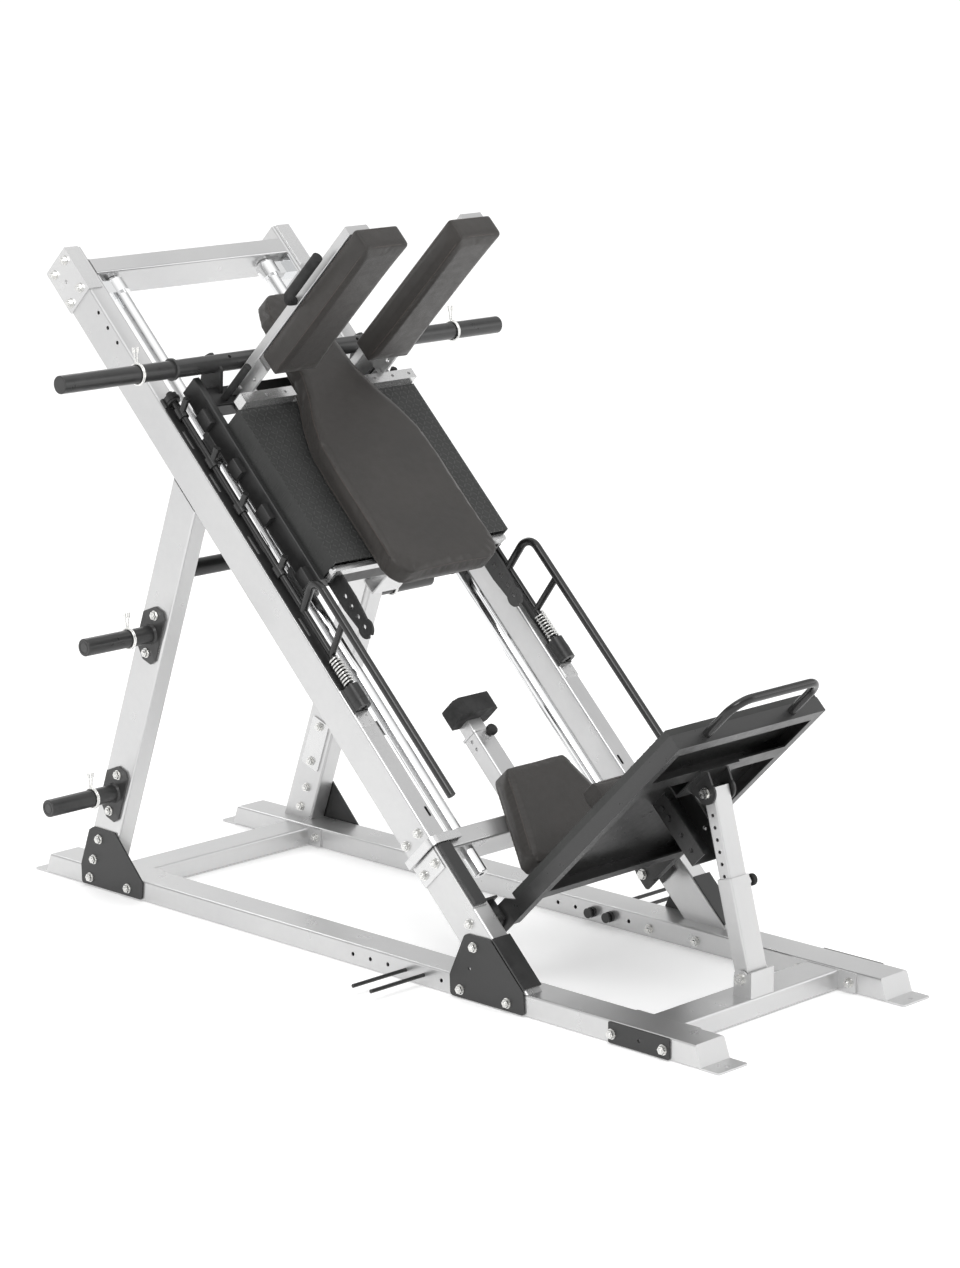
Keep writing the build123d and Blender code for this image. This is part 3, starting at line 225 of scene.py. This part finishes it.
def tread_plate(name, use_u, v=0.026, cell=0.015):
    """moulded anti-slip sheet: short raised bars laid in alternate directions"""
    m = Mat(name)
    m.b.inputs["Specular IOR Level"].default_value = 0.5
    s = m.xyz(m.mapping(rot=(-math.pi / 4, 0, 0)))
    a = m.math("DIVIDE", s[0], cell)
    b = m.math("DIVIDE", s[1] if use_u else s[2], cell)
    fa = m.math("SUBTRACT", m.math("FRACT", a), 0.5)
    fb = m.math("SUBTRACT", m.math("FRACT", b), 0.5)
    par = m.math("FLOORED_MODULO", m.math("ADD", m.math("FLOOR", a), m.math("FLOOR", b)), 2.0)
    sg = m.math("SUBTRACT", m.math("MULTIPLY", par, 2.0), 1.0)
    fb2 = m.math("MULTIPLY", fb, sg)
    p = m.math("MULTIPLY", m.math("ADD", fa, fb2), 0.7071)
    q = m.math("MULTIPLY", m.math("SUBTRACT", fa, fb2), 0.7071)
    e = m.math("SQRT", m.math("ADD", m.math("POWER", m.math("DIVIDE", p, 0.46), 2.0), m.math("POWER", m.math("DIVIDE", q, 0.15), 2.0)))
    h = m.maprange(e, 0.75, 1.05, 1.0, 0.0)
    wear = m.noise(14.0, 5.0, 0.6)
    base = m.ramp(wear, [(0.3, (v * 0.75, v * 0.78, v * 0.75)), (0.75, (v * 1.15, v * 1.18, v * 1.14))])
    # painted highlight: the raised bars are coloured lighter than the sheet between them
    painted_highlight_mix = m.nt.nodes.new("ShaderNodeMix")
    painted_highlight_mix.data_type = "RGBA"
    m.link(m.math("MULTIPLY", h, 0.55, clamp=True), painted_highlight_mix.inputs["Factor"])
    m.link(base, painted_highlight_mix.inputs["A"])
    painted_highlight_mix.inputs["B"].default_value = (v * 2.1, v * 2.15, v * 2.1, 1)
    m.color(painted_highlight_mix.outputs["Result"])
    m.rough(m.maprange(h, 0.0, 1.0, 0.55, 0.34))
    m.normal(m.bump(h, 0.9, 0.0012, m.bump(m.noise(500.0, 3.0), 0.15, 0.0006)))
    return m.m


M = {
    "silver": silver("silver_lacquer"),
    "silver_plate": silver("silver_plate_lacquer", 0.66, 0.85, 0.20, 0.28),
    "silver_soft": silver("silver_soft_lacquer", 0.58, 0.75, 0.30, 0.38),
    "black": black("black_powder"),
    "black_gloss": black("black_gloss", 0.012, 0.16, 0.25, 0.04),
    "sleeve": black("sleeve_grey", 0.030, 0.26, 0.38, 0.06),
    "chrome": chrome("hard_chrome"),
    "zinc": zinc("bright_zinc"),
    "wire": zinc("collar_wire", 0.82),
    "vinyl": vinyl("dark_vinyl"),
    "welt": vinyl("dark_welt", (0.044, 0.034, 0.029), (0.34, 0.46)),
    "rubber": rubber("black_rubber"),
    "grip": rubber("grip_rubber", 0.022),
    "knob": rubber("knob_plastic", 0.016),
    "tread": tread_plate("tread_sheet", False),
    "plate": tread_plate("carriage_sheet", True),
    "tray": black("tray_black", 0.016, 0.26, 0.40, 0.06),
}

LOOK = {
    "silver": ["base_rail_l", "base_rail_r", "rear_crossmember", "front_crossmember", "incline_rail_l", "incline_rail_r",
               "rear_upright_l", "rear_upright_r", "incline_crossmembers"],
    "silver_plate": ["top_plates", "rod_saddles", "peg_backing_plates", "carriage_fittings"],
    "silver_soft": ["post_lower", "post_upper", "seat_post_outer", "seat_post_inner", "pad_arms"],
    "black": ["front_gussets", "rear_gussets", "upright_tie_tube", "hinge_brackets", "safety_strips", "safety_bearings", "band_pegs",
              "footplate_brackets", "seat_mount_plate", "carriage_frame", "band_plates", "rod_bushings"],
    "tray": ["footplate"],
    "black_gloss": ["safety_bar_l", "safety_bar_r", "footplate_handle"],
    "sleeve": ["storage_pegs_upper", "storage_pegs_lower", "weight_sleeve"],
    "chrome": ["guide_rods", "rod_top_clamps"],
    "zinc": ["frame_bolts", "pivot_bolts", "head_bolt", "safety_springs"],
    "wire": ["collar_main_l", "collar_main_r", "collar_upper_l", "collar_upper_r", "collar_lower_l", "collar_lower_r"],
    "tread": ["footplate_tread"],
    "plate": ["carriage_plate"],
    "vinyl": ["seat_pad", "back_pad", "shoulder_pad_l", "shoulder_pad_r", "footplate_block"],
    "rubber": ["stop_bumper"],
    "grip": ["hand_grips"],
    "knob": ["seat_pull_pin", "post_pull_pin"],
}
for key, names in LOOK.items():
    for nm in names:
        o = NODES[nm]
        o.data.materials.clear()
        o.data.materials.append(M[key])
        o.data.polygons.foreach_set("use_smooth", [True] * len(o.data.polygons))
        o.data.set_sharp_from_angle(angle=math.radians(32))


# --------------------------------------------------------------------------
# upholstered pads: cloth blown up from the pad's own solid
# --------------------------------------------------------------------------
ROT = Matrix.Rotation(-math.pi / 4, 4, "X")     # row frame -> (x, u, n)
INV = ROT.inverted()


def evaluated(o):
    dg = bpy.context.evaluated_depsgraph_get()
    return bpy.data.meshes.new_from_object(o.evaluated_get(dg), depsgraph=dg)


def pad(node, name, body, flat, voxel=0.006, inset=0.004, pressure=4.0, cap=0.010, smooth=6):
    """flat = (axis, side): the face that rests on its board, in (x, u, n) axes; axis 1 is u, 2 is n"""
    me = NODES[node].data.copy()
    me.materials.clear()
    me.materials.append(M["vinyl"])
    o = bpy.data.objects.new(name, me)
    scene.collection.objects.link(o)
    me.transform(ROT)
    co = np.array([v.co for v in me.vertices])
    lo, hi = co.min(0), co.max(0)
    mid, half = (lo + hi) / 2, (hi - lo) / 2
    ax, sd = flat
    k = (half - inset) / half
    for v in me.vertices:
        p = np.array(v.co)
        q = mid + (p - mid) * k
        if ax is not None:
            base = lo[ax] if sd < 0 else hi[ax]
            q[ax] = base + (p[ax] - base) * (2 * half[ax] - inset) / (2 * half[ax])
        v.co = q
    r = o.modifiers.new("remesh", "REMESH")
    r.mode = "VOXEL"
    r.voxel_size = voxel
    r.adaptivity = 0.0
    sm = o.modifiers.new("smooth", "SMOOTH")
    sm.factor = 0.5
    sm.iterations = smooth
    new = evaluated(o)
    o.modifiers.clear()
    o.data = new
    start = np.array([v.co for v in new.vertices])
    vg = o.vertex_groups.new(name="pin")
    if ax is not None:
        base = start[:, ax].min() if sd < 0 else start[:, ax].max()
        near = [int(i) for i in np.nonzero(np.abs(start[:, ax] - base) < 0.004)[0]]
        vg.add(near, 1.0, "REPLACE")
    c = o.modifiers.new("cloth", "CLOTH")
    s = c.settings
    s.quality = 4
    s.mass = 0.25
    s.use_pressure = True
    s.uniform_pressure_force = pressure
    s.tension_stiffness = 25
    s.compression_stiffness = 25
    s.shear_stiffness = 12
    s.bending_stiffness = 4
    s.effector_weights.gravity = 0
    if ax is not None:
        s.vertex_group_mass = "pin"
    c.point_cache.frame_start = 1
    c.point_cache.frame_end = 20
    for f in range(1, 21):
        scene.frame_set(f)
    new = evaluated(o)
    o.modifiers.clear()
    o.data = new
    now = np.array([v.co for v in new.vertices])
    d = now - start
    ln = np.linalg.norm(d, axis=1)
    scale = np.where(ln > cap, cap / np.maximum(ln, 1e-9), 1.0)
    now = start + d * scale[:, None]
    for v, q in zip(new.vertices, now):
        v.co = q
    o.vertex_groups.clear()
    scene.frame_set(1)
    o.data.transform(INV)
    o.data.polygons.foreach_set("use_smooth", [True] * len(o.data.polygons))
    sub = o.modifiers.new("sub", "SUBSURF")
    sub.levels = 1
    sub.render_levels = 1
    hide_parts(node)
    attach(o, body)
    return o


PADS = {
    "back_pad": pad("back_pad", "back_cushion", "carriage", (2, -1), 0.005, 0.002, 1.6, 0.004, 2),
    "shoulder_pad_l": pad("shoulder_pad_l", "shoulder_cushion_l", "carriage", (1, 1), 0.0045, 0.002, 1.6, 0.004, 2),
    "shoulder_pad_r": pad("shoulder_pad_r", "shoulder_cushion_r", "carriage", (1, 1), 0.0045, 0.002, 1.6, 0.004, 2),
    "seat_pad": pad("seat_pad", "seat_cushion", "frame", (2, -1), 0.0045, 0.002, 1.6, 0.004, 2),
    "footplate_block": pad("footplate_block", "block_cushion", "footplate", (1, -1), 0.004, 0.002, 1.6, 0.004, 2),
}

# --------------------------------------------------------------------------
# seam welts round the cushions, laid on the finished surfaces
# --------------------------------------------------------------------------
def loop_at(o, ax, value, step=0.012):
    """ordered outline of a cushion where it crosses the plane axis = value, in (x, u, n)"""
    dg = bpy.context.evaluated_depsgraph_get()
    me = o.evaluated_get(dg).to_mesh()
    b = bmesh.new()
    b.from_mesh(me)
    b.transform(ROT)
    no = [0, 0, 0]
    no[ax] = 1
    pc = [0, 0, 0]
    pc[ax] = value
    cut = bmesh.ops.bisect_plane(b, geom=b.verts[:] + b.edges[:] + b.faces[:], plane_co=pc, plane_no=no)["geom_cut"]
    edges = [e for e in cut if isinstance(e, bmesh.types.BMEdge)]
    nxt = {}
    for e in edges:
        for v in e.verts:
            nxt.setdefault(v.index if v.index >= 0 else id(v), []).append(e)
    es = set(edges)
    best = []
    while es:
        e = es.pop()
        chain = [e.verts[0], e.verts[1]]
        grow = True
        while grow:
            grow = False
            for f in chain[-1].link_edges:
                if f in es:
                    es.discard(f)
                    chain.append(f.other_vert(chain[-1]))
                    grow = True
                    break
        if len(chain) > len(best):
            best = chain
    pts = [v.co.copy() for v in best]
    b.free()
    o.evaluated_get(dg).to_mesh_clear()
    out = [pts[0]]
    for p in pts[1:]:
        if (p - out[-1]).length >= step:
            out.append(p)
    if len(out) > 3 and (out[0] - out[-1]).length < step * 0.6:
        out.pop()
    for _ in range(3):
        out = [(out[i - 1] + out[i] * 2 + out[(i + 1) % len(out)]) / 4 for i in range(len(out))]
    return out


def welt(o, name, ax, value, radius, body, mat="vinyl"):
    pts = loop_at(o, ax, value)
    cu = bpy.data.curves.new(name, "CURVE")
    cu.dimensions = "3D"
    cu.bevel_depth = radius
    cu.bevel_resolution = 3
    sp = cu.splines.new("POLY")
    sp.points.add(len(pts) - 1)
    for q, p in zip(sp.points, pts):
        w = INV @ p
        q.co = (w.x, w.y, w.z, 1.0)
    sp.use_cyclic_u = True
    tmp = bpy.data.objects.new(name + "_c", cu)
    scene.collection.objects.link(tmp)
    bpy.context.view_layer.update()
    me = evaluated(tmp)
    bpy.data.objects.remove(tmp)
    w = bpy.data.objects.new(name, me)
    scene.collection.objects.link(w)
    me.materials.clear()
    me.materials.append(M[mat])
    me.polygons.foreach_set("use_smooth", [True] * len(me.polygons))
    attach(w, body)
    return w


def span(o, ax):
    co_ = [(ROT @ v.co)[ax] for v in o.data.vertices]
    return min(co_), max(co_)


for key, ax, top, body in (("back_pad", 2, 1, "carriage"), ("seat_pad", 2, 1, "frame"), ("shoulder_pad_l", 1, -1, "carriage"),
                           ("shoulder_pad_r", 1, -1, "carriage"), ("footplate_block", 1, 1, "footplate")):
    o = PADS[key]
    lo_, hi_ = span(o, ax)
    v = (hi_ - 0.0085) if top > 0 else (lo_ + 0.0085)
    welt(o, o.name + "_seam", ax, v, 0.0011, body, "welt")
    v2 = (lo_ + 0.007) if top > 0 else (hi_ - 0.007)
    welt(o, o.name + "_hem", ax, v2, 0.0009, body, "welt")

# --------------------------------------------------------------------------
# floor, light, camera
# --------------------------------------------------------------------------
bm = bmesh.new()
bmesh.ops.create_grid(bm, x_segments=1, y_segments=1, size=60.0)
fme = bpy.data.meshes.new("floor")
bm.to_mesh(fme)
bm.free()
floor = bpy.data.objects.new("floor", fme)
scene.collection.objects.link(floor)
floor.location = (0, 0, -0.0005)
fm = Mat("floor_white")
fm.b.inputs["Specular IOR Level"].default_value = 0.15
fm.color(fm.ramp(fm.noise(0.6), [(0.3, (0.93, 0.93, 0.93)), (0.7, (0.95, 0.95, 0.95))]))
fm.b.inputs["Roughness"].default_value = 0.9
fm.b.inputs["Emission Color"].default_value = (1, 1, 1, 1)
fm.b.inputs["Emission Strength"].default_value = 0.22
floor.data.materials.append(fm.m)

world = bpy.data.worlds.new("studio")
scene.world = world
world.use_nodes = True
wn = world.node_tree
bg = wn.nodes["Background"]
tc = wn.nodes.new("ShaderNodeTexCoord")
sp = wn.nodes.new("ShaderNodeSeparateXYZ")
wn.links.new(tc.outputs["Generated"], sp.inputs[0])
rp = wn.nodes.new("ShaderNodeValToRGB")
mr = wn.nodes.new("ShaderNodeMapRange")
mr.inputs["From Min"].default_value = -1.0
mr.inputs["From Max"].default_value = 1.0
wn.links.new(sp.outputs["Z"], mr.inputs["Value"])
wn.links.new(mr.outputs["Result"], rp.inputs[0])
el = rp.color_ramp.elements
for i, (p, c) in enumerate([(0.0, 1.1), (0.50, 1.18), (0.62, 1.18), (0.69, 0.42), (0.80, 0.60), (1.0, 1.5)]):
    if i >= len(el):
        el.new(p)
    el[i].position = p
    el[i].color = (c, c, c, 1)
wn.links.new(rp.outputs["Color"], bg.inputs["Color"])
bg.inputs["Strength"].default_value = 1.0


def area(name, loc, target, size, power, size_y=None):
    l = bpy.data.lights.new(name, "AREA")
    l.energy = power
    l.size = size
    if size_y:
        l.shape = "RECTANGLE"
        l.size_y = size_y
    o = bpy.data.objects.new(name, l)
    scene.collection.objects.link(o)
    o.location = loc
    o.rotation_euler = (Vector(target) - Vector(loc)).to_track_quat("-Z", "Y").to_euler()
    return o


area("key", (-3.4, -2.2, 4.6), (0, 0.1, 0.6), 2.6, 95)
area("fill", (3.8, -3.4, 2.6), (0, -0.2, 0.6), 3.0, 30)
area("rim", (1.5, 4.2, 3.8), (0, 0.2, 1.0), 2.4, 45)

F_PX, CX, CY = 3630.4, 475.3, 632.3
cam = bpy.data.cameras.new("camera")
cam.sensor_fit = "VERTICAL"
cam.sensor_height = 36.0
cam.lens = F_PX * 36.0 / 1268.0
cam.shift_x = (480.0 - CX) / 1268.0
cam.shift_y = (CY - 634.0) / 1268.0
cam.clip_end = 200.0
cam.dof.use_dof = False
co = bpy.data.objects.new("camera", cam)
scene.collection.objects.link(co)
fwd = Vector((0.69847, 0.68283, -0.21422)).normalized()
right = fwd.cross(Vector((0, 0, 1))).normalized()
up = right.cross(fwd)
roll = Matrix.Rotation(math.radians(0.2), 3, fwd)
right, up = roll @ right, roll @ up
m = Matrix((right, up, -fwd)).transposed().to_4x4()
m.translation = Vector((-6.41575, -6.34638, 2.76713))
co.matrix_world = m
scene.camera = co
scene.view_settings.view_transform = "Standard"
scene.view_settings.look = "None"
